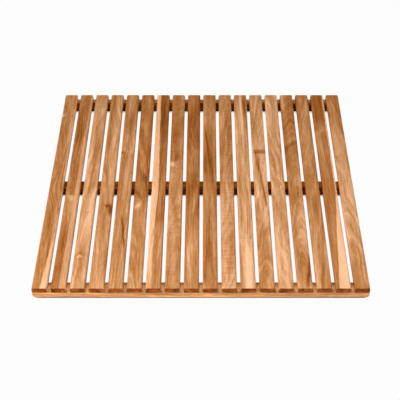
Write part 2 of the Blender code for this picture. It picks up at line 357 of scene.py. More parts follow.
class MatFixingSettings(bpy.types.PropertyGroup):
    """Shapes of the screws, their holes and the grip strips"""

    shank_radius: bpy.props.FloatProperty(
        name="Thread radius", description="Radius of a screw over its thread",
        default=1.75 * MM, min=0.0, subtype="DISTANCE", unit="LENGTH")
    core_radius: bpy.props.FloatProperty(
        name="Core radius", description="Radius of a screw between its threads",
        default=1.2 * MM, min=0.0, subtype="DISTANCE", unit="LENGTH")
    head_height: bpy.props.FloatProperty(
        name="Head height", description="Height of a screw's countersunk head",
        default=2.0 * MM, min=0.0, subtype="DISTANCE", unit="LENGTH")
    tip_length: bpy.props.FloatProperty(
        name="Tip length", description="Length of a screw's pointed tip",
        default=3.5 * MM, min=0.0, subtype="DISTANCE", unit="LENGTH")
    thread_pitch: bpy.props.FloatProperty(
        name="Thread pitch", description="How far a screw's thread climbs in one turn",
        default=1.6 * MM, min=0.0001, subtype="DISTANCE", unit="LENGTH")
    clearance: bpy.props.FloatProperty(
        name="Clearance", description="Room left round a screw and round a grip strip",
        default=0.3 * MM, min=0.0, subtype="DISTANCE", unit="LENGTH")
    rib_pitch: bpy.props.FloatProperty(
        name="Rib pitch", description="Distance between the grooves under a grip strip",
        default=2.5 * MM, min=0.0, subtype="DISTANCE", unit="LENGTH")
    rib_groove: bpy.props.FloatProperty(
        name="Rib groove", description="Width of each groove under a grip strip",
        default=1.2 * MM, min=0.0, subtype="DISTANCE", unit="LENGTH")
    rib_depth: bpy.props.FloatProperty(
        name="Rib depth", description="Depth of each groove under a grip strip",
        default=0.7 * MM, min=0.0, subtype="DISTANCE", unit="LENGTH")


class MatStageSettings(bpy.types.PropertyGroup):
    """The floor and the camera"""

    floor_colour: bpy.props.FloatVectorProperty(
        name="Floor colour", description="Colour of the pale floor, linear",
        default=(0.7, 0.7, 0.7), min=0.0, max=1.0, subtype="COLOR")
    camera_height: bpy.props.FloatProperty(
        name="Camera height", description="Height of the camera above the slats",
        default=1.3168, subtype="DISTANCE", unit="LENGTH")
    camera_back: bpy.props.FloatProperty(
        name="Camera distance", description="Distance from the middle of the mat to the camera, on the floor",
        default=1.6132, subtype="DISTANCE", unit="LENGTH")
    camera_side: bpy.props.FloatProperty(
        name="Camera offset", description="How far right of the middle the camera stands",
        default=0.0087, subtype="DISTANCE", unit="LENGTH")
    camera_down: bpy.props.FloatProperty(
        name="Camera tilt", description="How far below level the camera looks",
        default=math.radians(40.2564), subtype="ANGLE", unit="ROTATION")


# --------------------------------------------------------------------------- modelling


def select_only(piece):
    bpy.ops.object.select_all(action="DESELECT")
    piece.select_set(True)
    bpy.context.view_layer.objects.active = piece


def in_edit_mode(piece, mode):
    select_only(piece)
    bpy.ops.object.mode_set(mode="EDIT")
    bpy.ops.mesh.select_mode(type=mode)


def pick(test, kind):
    """Selects the edges or faces of the edited piece whose element passes the test."""
    mesh = bpy.context.edit_object.data
    body = bmesh.from_edit_mesh(mesh)
    for element in (*body.faces, *body.edges, *body.verts):
        element.select_set(False)
    for element in getattr(body, kind):
        if test(element):
            element.select_set(True)
    bmesh.update_edit_mesh(mesh)


def start_block(name, low, high):
    """A block between two corners, its place in its mesh."""
    bpy.ops.object.select_all(action="DESELECT")
    middle, size = (low + high) / 2, high - low
    bpy.ops.mesh.primitive_cube_add(size=1, location=middle, scale=size)
    piece = bpy.context.active_object
    piece.name = piece.data.name = name
    bpy.ops.object.transform_apply(location=True, rotation=True, scale=True)
    return piece


def runs_along(edge, axis):
    run = edge.verts[1].co - edge.verts[0].co
    return abs(run[axis]) > 0.99 * run.length


def bevel_picked(radius, segments):
    bpy.ops.mesh.bevel(offset=radius, offset_type="OFFSET", segments=segments, affect="EDGES",
                       clamp_overlap=True)


def apply_modifiers(piece):
    bpy.context.view_layer.objects.active = piece
    for modifier in list(piece.modifiers):
        bpy.ops.object.modifier_apply(modifier=modifier.name)


def smooth(piece, angle=50):
    """Shades the roundings smooth and keeps the wide faces flat."""
    select_only(piece)
    bpy.ops.object.shade_smooth_by_angle(angle=math.radians(angle))
    flat = piece.modifiers.new("Flat faces", "WEIGHTED_NORMAL")
    flat.keep_sharp = True
    apply_modifiers(piece)


def finish_piece(piece, nodes, material):
    piece.data.materials.clear()
    piece.data.materials.append(material)
    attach(piece, BODY)
    if nodes:
        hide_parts(*nodes)


def copy_to(piece, name, move):
    """A copy of a modelled piece with its own mesh, moved in its mesh."""
    twin = piece.copy()
    twin.data = piece.data.copy()
    twin.name = twin.data.name = name
    bpy.context.collection.objects.link(twin)
    twin.location = move
    select_only(twin)
    bpy.ops.object.transform_apply(location=True, rotation=False, scale=False)
    return twin


def combine(piece, other, operation):
    """Cuts the other shape out of the piece, or joins it on, and removes it."""
    boolean = piece.modifiers.new(operation.lower(), "BOOLEAN")
    boolean.object = other
    boolean.operation = operation
    boolean.solver = "EXACT"
    apply_modifiers(piece)
    bpy.data.objects.remove(other)


def cut_all_across(axis, places):
    """Divides the edited piece by planes across an axis."""
    normal = Vector((0, 0, 0))
    normal[axis] = 1
    for place in places:
        bpy.ops.mesh.select_all(action="SELECT")
        bpy.ops.mesh.bisect(plane_co=normal * place, plane_no=normal)


def sink_grooves(low, high, grooves, depth):
    """Sinks stopped grooves into the underside of the edited piece.

    low and high are the grooves' ends along X; each groove is a (from, to) along Y.
    """
    cut_all_across(0, (low, high))
    cut_all_across(1, [edge for groove in grooves for edge in groove])

    def is_floor(face):
        middle = face.calc_center_median()
        return (face.normal.z < -0.99 and low < middle.x < high
                and any(start < middle.y < end for start, end in grooves))

    bpy.ops.mesh.select_mode(type="FACE")
    pick(is_floor, "faces")
    bpy.ops.mesh.extrude_region_move(TRANSFORM_OT_translate={"value": (0, 0, depth)})


def model_bit(screw_low, screw_high, place, fixings):
    """A drill bit with its countersink, in the shape of the hole for one screw."""
    bore = fixings.shank_radius + fixings.clearance
    mouth = (screw_high.x - screw_low.x) / 2 + fixings.clearance
    bottom = screw_low.z + fixings.head_height
    top = screw_high.z + 2 * fixings.clearance
    bpy.ops.object.select_all(action="DESELECT")
    bpy.ops.mesh.primitive_cylinder_add(vertices=HEAD_SIDES, radius=bore, depth=top - bottom,
                                        location=(place.x, place.y, (bottom + top) / 2))
    bit = bpy.context.active_object
    bpy.ops.object.transform_apply(location=True, rotation=True, scale=True)
    in_edit_mode(bit, "FACE")
    pick(lambda face: face.normal.z < -0.9, "faces")
    bpy.ops.mesh.extrude_region_move(TRANSFORM_OT_translate={"value": (0, 0, -fixings.head_height)})
    bpy.ops.transform.resize(value=(mouth / bore, mouth / bore, 1),
                             center_override=(place.x, place.y, screw_low.z))
    bpy.ops.mesh.extrude_region_move(TRANSFORM_OT_translate={"value": (0, 0, -MM)})
    bpy.ops.object.mode_set(mode="OBJECT")
    return bit


def repeat(piece, count, step):
    array = piece.modifiers.new("Array", "ARRAY")
    array.use_relative_offset = False
    array.use_constant_offset = True
    array.count = count
    array.constant_offset_displace = step


def model_slat(name, low, high, timber):
    piece = start_block(name, low, high)
    middle_z = (low.z + high.z) / 2
    in_edit_mode(piece, "EDGE")
    pick(lambda edge: runs_along(edge, 1) and edge.verts[0].co.z > middle_z, "edges")
    bevel_picked(timber.top_round, 6)
    pick(lambda edge: runs_along(edge, 1) and edge.verts[0].co.z < low.z + MM / 10
         and abs(edge.verts[0].co.x - (low.x + high.x) / 2) > (high.x - low.x) / 2 - MM / 10, "edges")
    bevel_picked(timber.lower_round, 5)
    reach = high.y - MM / 100
    pick(lambda edge: all(abs(vert.co.y) > reach for vert in edge.verts), "edges")
    bevel_picked(timber.end_round, 3)
    bpy.ops.object.mode_set(mode="OBJECT")
    return piece


def model_rail(name, low, high, strip_low, strip_high, timber, clearance):
    """A rail with its rounded ends and the groove for its grip strip."""
    piece = start_block(name, low, high)
    middle_z = (low.z + high.z) / 2
    in_edit_mode(piece, "EDGE")
    pick(lambda edge: runs_along(edge, 1) and edge.verts[0].co.z < middle_z, "edges")
    bevel_picked(timber.rail_end_round, 8)
    pick(lambda edge: runs_along(edge, 0) and edge.verts[0].co.z < low.z + MM / 10, "edges")
    bevel_picked(timber.rail_lower_round, 6)
    pick(lambda edge: all(vert.co.z > high.z - MM / 10 for vert in edge.verts), "edges")
    bevel_picked(timber.rail_top_round, 3)
    groove = (strip_low.y - clearance, strip_high.y + clearance)
    depth = strip_high.z + clearance - low.z
    sink_grooves(strip_low.x - clearance, strip_high.x + clearance, [groove], depth)
    bpy.ops.object.mode_set(mode="OBJECT")
    return piece


def model_strip(name, low, high, fixings):
    """A rubber bar with rounded edges and three grooves underneath, so that it grips."""
    piece = start_block(name, low, high)
    in_edit_mode(piece, "EDGE")
    bpy.ops.mesh.select_all(action="SELECT")
    bevel_picked(2 * fixings.clearance, 3)
    middle_y = (low.y + high.y) / 2
    half = fixings.rib_groove / 2
    middles = [middle_y + step * fixings.rib_pitch for step in (-1, 0, 1)]
    stop = fixings.rib_pitch
    sink_grooves(low.x + stop, high.x - stop, [(middle - half, middle + half) for middle in middles],
                 fixings.rib_depth)
    bpy.ops.object.mode_set(mode="OBJECT")
    smooth(piece, 40)
    return piece


def model_screw(name, low, high, fixings):
    """A countersunk wood screw, head down, with a twisted thread and a cross recess."""
    middle = (low + high) / 2
    neck = low.z + fixings.head_height
    shoulder = high.z - fixings.tip_length
    bpy.ops.object.select_all(action="DESELECT")
    bpy.ops.mesh.primitive_cylinder_add(vertices=THREAD_SIDES, radius=fixings.core_radius,
                                        depth=shoulder - neck,
                                        location=(middle.x, middle.y, (neck + shoulder) / 2))
    piece = bpy.context.active_object
    piece.name = piece.data.name = name
    centre = piece.location.copy()

    # One edge stands out, the end is drawn to a point, and the lot is twisted into a thread
    in_edit_mode(piece, "EDGE")
    edge_of_thread = max(vert.co.y for vert in piece.data.vertices)
    pick(lambda edge: all(vert.co.y > edge_of_thread - MM / 100 for vert in edge.verts), "edges")
    bpy.ops.transform.translate(value=(0, fixings.shank_radius - fixings.core_radius, 0))
    bpy.ops.mesh.select_mode(type="FACE")
    pick(lambda face: face.normal.z > 0.9, "faces")
    bpy.ops.mesh.extrude_region_move(TRANSFORM_OT_translate={"value": (0, 0, fixings.tip_length)})
    bpy.ops.transform.resize(value=(0.05, 0.05, 1), center_override=(middle.x, middle.y, high.z))
    bpy.ops.mesh.select_mode(type="EDGE")
    step = fixings.thread_pitch / THREAD_SIDES
    for start, length in ((neck - centre.z, shoulder - neck), (shoulder - centre.z, fixings.tip_length)):
        pick(lambda edge: abs(edge.verts[0].co.z - edge.verts[1].co.z) > 0.9 * length
             and abs(min(vert.co.z for vert in edge.verts) - start) < MM / 100, "edges")
        bpy.ops.mesh.subdivide(number_cuts=round(length / step) - 1)
    bpy.ops.object.mode_set(mode="OBJECT")
    twist = piece.modifiers.new("Thread", "SIMPLE_DEFORM")
    twist.deform_method = "TWIST"
    twist.deform_axis = "Z"
    twist.angle = 2 * math.pi * (high.z - neck) / fixings.thread_pitch
    apply_modifiers(piece)
    select_only(piece)
    bpy.ops.object.transform_apply(location=True, rotation=True, scale=True)

    # The head: a thin rim, then a cone up to the core
    head_radius = (high.x - low.x) / 2
    rim = fixings.clearance
    bpy.ops.object.select_all(action="DESELECT")
    bpy.ops.mesh.primitive_cylinder_add(vertices=HEAD_SIDES, radius=head_radius, depth=rim,
                                        location=(middle.x, middle.y, low.z + rim / 2))
    head = bpy.context.active_object
    bpy.ops.object.transform_apply(location=True, rotation=True, scale=True)
    in_edit_mode(head, "FACE")
    pick(lambda face: face.normal.z > 0.9, "faces")
    bpy.ops.mesh.extrude_region_move(TRANSFORM_OT_translate={"value": (0, 0, fixings.head_height - rim)})
    taper = fixings.core_radius / head_radius
    bpy.ops.transform.resize(value=(taper, taper, 1), center_override=(middle.x, middle.y, neck))
    bpy.ops.mesh.extrude_region_move(TRANSFORM_OT_translate={"value": (0, 0, rim)})
    bpy.ops.object.mode_set(mode="OBJECT")
    combine(piece, head, "UNION")

    # The cross recess, narrower at its floor
    blade = fixings.shank_radius / 2
    span = RECESS_SPAN * fixings.shank_radius
    for wide, long in ((blade, span), (span, blade)):
        bit = start_block("bit", Vector((middle.x - wide / 2, middle.y - long / 2, low.z - MM)),
                          Vector((middle.x + wide / 2, middle.y + long / 2, low.z + RECESS_DEPTH)))
        in_edit_mode(bit, "FACE")
        pick(lambda face: face.normal.z > 0.9, "faces")
        bpy.ops.transform.resize(value=(0.5, 0.5, 1), center_override=(middle.x, middle.y, low.z))
        bpy.ops.object.mode_set(mode="OBJECT")
        combine(piece, bit, "DIFFERENCE")
    smooth(piece, 40)
    return piece


# --------------------------------------------------------------------------- materials


def linear(hex_colour):
    """An sRGB hex colour as the linear colour that a shader takes."""
    channels = [int(hex_colour[i:i + 2], 16) / 255 for i in (1, 3, 5)]
    return (*[c / 12.92 if c <= 0.04045 else ((c + 0.055) / 1.055) ** 2.4 for c in channels], 1.0)


def add(tree, kind, inputs=None, stops=(), **settings):
    """Adds a node with its settings, its inputs as values or links, and its ramp's stops."""
    node = tree.nodes.new(kind)
    for setting, value in settings.items():
        setattr(node, setting, value)
    for socket, value in (inputs or {}).items():
        if isinstance(value, bpy.types.Node):
            value = value.outputs[0]
        if isinstance(value, bpy.types.NodeSocket):
            tree.links.new(value, node.inputs[socket])
        else:
            node.inputs[socket].default_value = value
    if stops:
        points = node.color_ramp.elements
        for point, (place, colour) in zip(points, (stops[0], stops[-1])):
            point.position = place
            point.color = colour
        for place, colour in stops[1:-1]:
            points.new(place).color = colour
    return node


# Socket numbers of a Mix node that mixes colours
FACTOR, COLOUR_A, COLOUR_B, COLOUR_OUT = 0, 6, 7, 2


def stretch(size):
    """The scale of a pattern that is size[0] mm wide across the grain, size[1] mm along."""
    across, along = size
    return (1000 / across, 1000 / along, 1000 / across)


def new_group(name, inputs, outputs):
    group = bpy.data.node_groups.new(name, "ShaderNodeTree")
    for way, sockets in (("INPUT", inputs), ("OUTPUT", outputs)):
        for socket, kind in sockets.items():
            group.interface.new_socket(socket, in_out=way, socket_type=f"NodeSocket{kind}")
    return group, add(group, "NodeGroupInput").outputs


def make_figure_group():
    """The figure of teak in a length of timber whose grain runs along Y.

    Growth rings lie round a pith outside the piece, so they show as arcs on the sawn
    ends, and as streaks and arches on the faces where the pith leans or dives. Bands,
    fibres and pores lie along the grain. Tone is how much darker than its mean the wood
    is, and Height stands for the raised fibres between open pores.
    """
    group, given = new_group(
        "Teak figure",
        {"Place": "Vector", "Pith": "Vector", "Lean": "Float", "Dive": "Float", "Rings": "Float",
         "Lines": "Float", "Ripple": "Float"},
        {"Tone": "Float", "Height": "Float"})
    place = given["Place"]

    # The grain wanders a few millimetres from side to side
    slow = add(group, "ShaderNodeMapping", {"Vector": place, "Scale": stretch(WANDER)})
    wander = add(group, "ShaderNodeTexNoise", {"Vector": slow, "Scale": 1.0, "Detail": 1.0})
    offset = add(group, "ShaderNodeVectorMath", {0: wander.outputs["Color"], 1: (0.5, 0.5, 0.5)},
                 operation="SUBTRACT")
    drift = add(group, "ShaderNodeVectorMath", {0: offset, 1: WANDER_BY, 2: place},
                operation="MULTIPLY_ADD")

    # Distance from the pith, which leans and dives along the timber
    spot = add(group, "ShaderNodeSeparateXYZ", {0: drift})
    pith = add(group, "ShaderNodeSeparateXYZ", {0: given["Pith"]})
    lean = add(group, "ShaderNodeMath", {0: spot.outputs["Y"], 1: given["Lean"], 2: spot.outputs["X"]},
               operation="MULTIPLY_ADD")
    dive = add(group, "ShaderNodeMath", {0: spot.outputs["Y"], 1: given["Dive"], 2: spot.outputs["Z"]},
               operation="MULTIPLY_ADD")
    across = add(group, "ShaderNodeMath", {0: lean, 1: pith.outputs["X"]}, operation="SUBTRACT")
    down = add(group, "ShaderNodeMath", {0: dive, 1: pith.outputs["Z"]}, operation="SUBTRACT")
    section = add(group, "ShaderNodeCombineXYZ", {0: across, 1: down})
    radius = add(group, "ShaderNodeVectorMath", {0: section}, operation="LENGTH")
    grown = add(group, "ShaderNodeCombineXYZ", {0: radius.outputs["Value"], 1: spot.outputs["Y"]})

    tone = None
    for size, detail, source, share in (
        (RING, 2.5, grown, given["Rings"]), (LINE, 2.0, grown, given["Lines"]), (BAND, 1.0, drift, 1.3),
        (RIPPLE, 1.0, place, given["Ripple"]), (FIBRE, 2.0, drift, 1.3),
    ):
        scaled = add(group, "ShaderNodeMapping", {"Vector": source, "Scale": stretch(size)})
        noise = add(group, "ShaderNodeTexNoise", {"Vector": scaled, "Scale": 1.0, "Detail": detail})
        even = add(group, "ShaderNodeMath", {0: noise, 1: 0.5}, operation="SUBTRACT")
        tone = add(group, "ShaderNodeMath", {0: even, 1: share, 2: tone if tone else 0.0},
                   operation="MULTIPLY_ADD")
    pricks = add(group, "ShaderNodeMapping", {"Vector": drift, "Scale": stretch(PORE)})
    prick = add(group, "ShaderNodeTexNoise", {"Vector": pricks, "Scale": 1.0, "Detail": 0.0})
    pores = add(group, "ShaderNodeMapRange", {0: prick, 1: 0.6, 2: 0.72, 3: 0.0, 4: 1.0})
    with_pores = add(group, "ShaderNodeMath", {0: pores, 1: 0.2, 2: tone}, operation="MULTIPLY_ADD")
    height = add(group, "ShaderNodeMath", {0: pores, 1: -0.8, 2: noise}, operation="MULTIPLY_ADD")
    add(group, "NodeGroupOutput", {"Tone": with_pores, "Height": height})
    return group


def make_mark_or_light_group():
    """A streak, knot or patch in the timber, and on the rails a band of painted highlight or painted shade:
    its strength at its middle, fading to none past its size.
    """
    group, given = new_group(
        "Timber mark",
        {"Place": "Vector", "Middle": "Vector", "Size": "Vector", "Lean": "Float", "Strength": "Float",
         "Tone": "Float"},
        {"Tone": "Float"})
    away = add(group, "ShaderNodeVectorMath", {0: given["Place"], 1: given["Middle"]}, operation="SUBTRACT")
    part = add(group, "ShaderNodeSeparateXYZ", {0: away})
    leaning = add(group, "ShaderNodeMath", {0: part.outputs["Y"], 1: given["Lean"], 2: part.outputs["X"]},
                  operation="MULTIPLY_ADD")
    straight = add(group, "ShaderNodeCombineXYZ", {0: leaning, 1: part.outputs["Y"]})
    scaled = add(group, "ShaderNodeVectorMath", {0: straight, 1: given["Size"]}, operation="DIVIDE")
    far = add(group, "ShaderNodeVectorMath", {0: scaled, 1: scaled}, operation="DOT_PRODUCT")
    blunt = add(group, "ShaderNodeMath", {0: far.outputs["Value"], 1: MARK_BLUNTNESS}, operation="POWER")
    falling = add(group, "ShaderNodeMath", {0: blunt, 1: MARK_FALL}, operation="MULTIPLY")
    mark = add(group, "ShaderNodeMath", {0: falling}, operation="EXPONENT")
    marked = add(group, "ShaderNodeMath", {0: mark, 1: given["Strength"], 2: given["Tone"]},
                 operation="MULTIPLY_ADD")
    add(group, "NodeGroupOutput", {"Tone": marked})
    return group


def grey(value):
    return (value, value, value, 1.0)


def new_material(name):
    material = bpy.data.materials.new(name)
    material.use_nodes = True
    tree = material.node_tree
    return material, tree, tree.nodes["Principled BSDF"]


def make_teak(name, look, middle, along_x, seed):
    """Teak, planed and sandpapered: warm, its trodden top oiled to a satin sheen.

    The sides and rounded edges are matt, and the sawn ends are open grain, so they are
    darker and duller. middle is the piece's middle; along_x says that its grain runs
    along X.
    """
    material, tree, shader = new_material(name)
    figure_group = bpy.data.node_groups.get("Teak figure") or make_figure_group()
    mark_or_light_group = bpy.data.node_groups.get("Timber mark") or make_mark_or_light_group()

    # Coordinates about the middle of the piece, turned so that the grain runs along Y
    surface = add(tree, "ShaderNodeTexCoord")
    facing = add(tree, "ShaderNodeSeparateXYZ", {0: surface.outputs["Normal"]})
    centred = add(tree, "ShaderNodeVectorMath", {0: surface.outputs["Object"], 1: middle},
                  operation="SUBTRACT")
    turn = (0.0, 0.0, math.radians(90 if along_x else 0))
    place = add(tree, "ShaderNodeMapping", {"Vector": centred, "Rotation": turn}, vector_type="POINT")
    spot = add(tree, "ShaderNodeSeparateXYZ", {0: place})
    from_back = add(tree, "ShaderNodeMath", {0: BACK_END, 1: spot.outputs["Y"]}, operation="SUBTRACT")
    share = add(tree, "ShaderNodeMath", {0: from_back, 1: SLAT_SIZE.y}, operation="DIVIDE")

    # Marks and the sapwood's edge are feathered along the grain
    feather = add(tree, "ShaderNodeMapping", {"Vector": place, "Location": (seed, 0, 0),
                                              "Scale": stretch(FEATHER)})
    ragged = add(tree, "ShaderNodeTexNoise", {"Vector": feather, "Scale": 1.0, "Detail": 3.0})
    ragged_even = add(tree, "ShaderNodeVectorMath", {0: ragged.outputs["Color"], 1: (0.5, 0.5, 0.5)},
                      operation="SUBTRACT")
    wobbly = add(tree, "ShaderNodeVectorMath", {0: ragged_even, 1: FEATHER_BY, 2: place},
                 operation="MULTIPLY_ADD")

    # The length in front of a joint is other timber, with its figure from further along
    joint = BACK_END - (look["joint"] or 0) * MM
    beyond = add(tree, "ShaderNodeMath", {0: spot.outputs["Y"], 1: joint}, operation="LESS_THAN")
    shift = add(tree, "ShaderNodeMath", {0: beyond, 1: BEYOND_JOINT, 2: APART * seed},
                operation="MULTIPLY_ADD")
    shifted = add(tree, "ShaderNodeCombineXYZ", {0: 0.0, 1: shift})
    unlike = add(tree, "ShaderNodeVectorMath", {0: place, 1: shifted}, operation="ADD")

    # The pith leans and dives about the middle of the timber, not about the shifted place
    pith_across, pith_down = (value * MM for value in look["pith"])
    pith_x = add(tree, "ShaderNodeMath", {0: shift, 1: look["lean"], 2: pith_across},
                 operation="MULTIPLY_ADD")
    pith_z = add(tree, "ShaderNodeMath", {0: shift, 1: look["dive"], 2: -pith_down},
                 operation="MULTIPLY_ADD")
    pith = add(tree, "ShaderNodeCombineXYZ", {0: pith_x, 2: pith_z})
    figure = add(tree, "ShaderNodeGroup", {
        "Place": unlike, "Pith": pith, "Lean": look["lean"], "Dive": look["dive"], "Rings": look["rings"],
        "Lines": look["lines"], "Ripple": look["ripple"],
    }, node_tree=figure_group)

    # Tone: the level along the timber, its marks (on the rails, bands of painted light and shade), the
    # painted highlight on its edges and painted light on its sides, and its figure on top
    tone = add(tree, "ShaderNodeValToRGB", {0: share},
               stops=[(at * MM / SLAT_SIZE.y, grey(level)) for at, level in look["tones"]])
    for across, at, half_width, half_length, lean, strength in look["marks"]:
        tone = add(tree, "ShaderNodeGroup", {
            "Place": wobbly, "Middle": (across * MM, BACK_END - at * MM, 0.0),
            "Size": (half_width * MM, half_length * MM, 1.0), "Lean": lean, "Strength": strength,
            "Tone": tone,
        }, node_tree=mark_or_light_group)
    if not along_x:
        # A painted highlight leaves the rounded edges paler than the top and the sides, and painted light
        # leaves the sides a little paler than the top
        side_on = add(tree, "ShaderNodeMath", {0: facing.outputs["X"]}, operation="ABSOLUTE")
        painted_edge_light = add(tree, "ShaderNodeValToRGB", {0: side_on},
                     stops=[(turned, grey(change)) for turned, change in PAINTED_EDGE_LIGHT])
        tone = add(tree, "ShaderNodeMath", {0: tone, 1: painted_edge_light}, operation="ADD")
    whole = add(tree, "ShaderNodeMath", {0: tone, 1: figure.outputs["Tone"]}, operation="ADD")
    tones = look["colours"]
    palest, darkest = tones[0][0], tones[-1][0]
    spread = add(tree, "ShaderNodeMapRange", {0: whole, 1: palest, 2: darkest})
    colour = add(tree, "ShaderNodeValToRGB", {0: spread},
                 stops=[((at - palest) / (darkest - palest), linear(code)) for at, code in tones])
    # Sapwood and end grain keep the figure but not the level
    paler = add(tree, "ShaderNodeMath", {0: figure.outputs["Tone"], 1: 0.5}, operation="ADD")

    if look["sap"]:
        side, strength, edges = look["sap"]
        spare = SAP_SPARE * MM - SLAT_SIZE.x / 2
        reach = add(tree, "ShaderNodeValToRGB", {0: share}, stops=[
            (at * MM / SLAT_SIZE.y, grey((wide + SAP_SPARE) * MM / SLAT_SIZE.x)) for at, wide in edges])
        sap = add(tree, "ShaderNodeValToRGB", {0: paler}, stops=[(at, linear(code)) for at, code in SAPWOOD])
        wobbly_spot = add(tree, "ShaderNodeSeparateXYZ", {0: wobbly})
        outward = add(tree, "ShaderNodeMath", {0: wobbly_spot.outputs["X"], 1: float(side), 2: spare},
                      operation="MULTIPLY_ADD")
        inward = add(tree, "ShaderNodeMath", {0: reach, 1: SLAT_SIZE.x, 2: outward}, operation="MULTIPLY_ADD")
        edge = add(tree, "ShaderNodeMapRange", {0: inward, 1: -0.5 * MM, 2: 0.8 * MM, 4: min(strength, 1.0)})
        sapped = add(tree, "ShaderNodeMix", {FACTOR: edge, COLOUR_A: colour, COLOUR_B: sap}, data_type="RGBA")
        colour = sapped.outputs[COLOUR_OUT]

    if look["joint"] is not None:
        # The glue line shows as a faint dark stripe, 0.6 mm wide with soft edges
        gap = add(tree, "ShaderNodeMath", {0: spot.outputs["Y"], 1: joint}, operation="SUBTRACT")
        near = add(tree, "ShaderNodeMath", {0: gap}, operation="ABSOLUTE")
        line = add(tree, "ShaderNodeMapRange", {0: near, 1: 0.9 * MM, 2: 0.3 * MM, 3: 0.0, 4: 0.3})
        glued = add(tree, "ShaderNodeMix", {FACTOR: line, COLOUR_A: colour, COLOUR_B: linear(TONES[-1][1])},
                    data_type="RGBA")
        colour = glued.outputs[COLOUR_OUT]

    endwise = add(tree, "ShaderNodeMath", {0: facing.outputs["X" if along_x else "Y"]}, operation="ABSOLUTE")
    end = add(tree, "ShaderNodeMapRange", {0: endwise, 1: 0.6, 2: 0.85})
    sawn = add(tree, "ShaderNodeValToRGB", {0: paler}, stops=[(at, linear(code)) for at, code in END_GRAIN])
    ended = add(tree, "ShaderNodeMix", {FACTOR: end, COLOUR_A: colour, COLOUR_B: sawn}, data_type="RGBA")
    tree.links.new(ended.outputs[COLOUR_OUT], shader.inputs["Base Color"])

    dull = add(tree, "ShaderNodeMapRange", {0: paler, 3: 0.40, 4: 0.54})
    open_grain = add(tree, "ShaderNodeMath", {0: end, 1: 0.25, 2: dull}, operation="MULTIPLY_ADD")
    tree.links.new(open_grain.outputs[0], shader.inputs["Roughness"])
    relief = add(tree, "ShaderNodeBump", {"Height": figure.outputs["Height"], "Strength": 0.4,
                                          "Distance": 0.15 * MM})
    tree.links.new(relief.outputs[0], shader.inputs["Normal"])
    shader.inputs["IOR"].default_value = 1.5
    # Only the trodden top is oiled, so the gloss ends at its rounded edges
    shader.inputs["Specular IOR Level"].default_value = 0.1
    oiled = 0.05 if along_x else 0.2
    gloss = add(tree, "ShaderNodeMapRange", {0: facing.outputs["Z"], 1: 0.4, 2: 0.95, 4: oiled})
    tree.links.new(gloss.outputs[0], shader.inputs["Specular IOR Level"])
    return material


def make_rubber():
    """Moulded EPDM rubber: near black, matt, with a faint grey bloom and the mould's grain."""
    material, tree, shader = new_material("Moulded EPDM rubber")
    surface = add(tree, "ShaderNodeTexCoord")
    # Bloom gathers in patches of about 25 mm; the mould's grain is 0.6 mm
    place = surface.outputs["Object"]
    bloom = add(tree, "ShaderNodeTexNoise", {"Vector": place, "Scale": 40.0, "Detail": 3.0})
    grain = add(tree, "ShaderNodeTexNoise", {"Vector": place, "Scale": 1600.0, "Detail": 1.0})
    colour = add(tree, "ShaderNodeValToRGB", {0: bloom},
                 stops=((0.35, linear("#1B1A19")), (0.7, linear("#353330"))))
    tree.links.new(colour.outputs[0], shader.inputs["Base Color"])
    dull = add(tree, "ShaderNodeMapRange", {0: bloom, 3: 0.7, 4: 0.9})
    tree.links.new(dull.outputs[0], shader.inputs["Roughness"])
    relief = add(tree, "ShaderNodeBump", {"Height": grain, "Strength": 0.3, "Distance": 0.1 * MM})
    tree.links.new(relief.outputs[0], shader.inputs["Normal"])
    return material


def make_steel():
    """Cold-headed A2 stainless steel, tumbled: a soft grey gleam with fine turning marks."""
    material, tree, shader = new_material("Tumbled stainless steel")
    surface = add(tree, "ShaderNodeTexCoord")
    # Turning marks circle the screw, 0.25 mm apart; tumbling leaves patches of about 1 mm
    place = surface.outputs["Object"]
    turned = add(tree, "ShaderNodeMapping", {"Vector": place, "Scale": (300, 300, 4000)})
    marks = add(tree, "ShaderNodeTexNoise", {"Vector": turned, "Scale": 1.0, "Detail": 2.0})
    patches = add(tree, "ShaderNodeTexNoise", {"Vector": place, "Scale": 1000.0, "Detail": 2.0})
    colour = add(tree, "ShaderNodeValToRGB", {0: patches},
                 stops=((0.3, linear("#A3A19D")), (0.7, linear("#C4C3C0"))))
    tree.links.new(colour.outputs[0], shader.inputs["Base Color"])
    dull = add(tree, "ShaderNodeMapRange", {0: patches, 3: 0.28, 4: 0.42})
    tree.links.new(dull.outputs[0], shader.inputs["Roughness"])
    relief = add(tree, "ShaderNodeBump", {"Height": marks, "Strength": 0.2, "Distance": 0.02 * MM})
    tree.links.new(relief.outputs[0], shader.inputs["Normal"])
    shader.inputs["Metallic"].default_value = 1.0
    return material


# --------------------------------------------------------------------------- operators


def corners(node):
    return tuple(Vector(corner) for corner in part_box(node))


class BATHMAT_OT_slats(bpy.types.Operator):
    """Model the slats that are walked on"""

    bl_idname = "bath_mat.slats"
    bl_label = "Slats"

    def execute(self, context):
        scene = context.scene
        low, high = corners(SLAT_NODES[0])
        first = model_slat("teak_first_slat", low, high, scene.mat_timber)
        screw_low, screw_high = corners("screw_front_01")
        crossing = (screw_low + screw_high) / 2
        bits = model_bit(screw_low, screw_high, crossing, scene.mat_fixings)
        repeat(bits, len(RAIL_PLACES), (0, -crossing.y, 0))
        combine(first, bits, "DIFFERENCE")
        smooth(first)
        for index, node in enumerate(SLAT_NODES):
            node_low, node_high = corners(node)
            piece = copy_to(first, f"teak_{node}", node_low - low)
            material = make_teak(f"Oiled teak, {node}", SLAT_LOOKS[index], (node_low + node_high) / 2, False,
                                 index + 1)
            finish_piece(piece, [node], material)
        bpy.data.objects.remove(first)
        return {"FINISHED"}


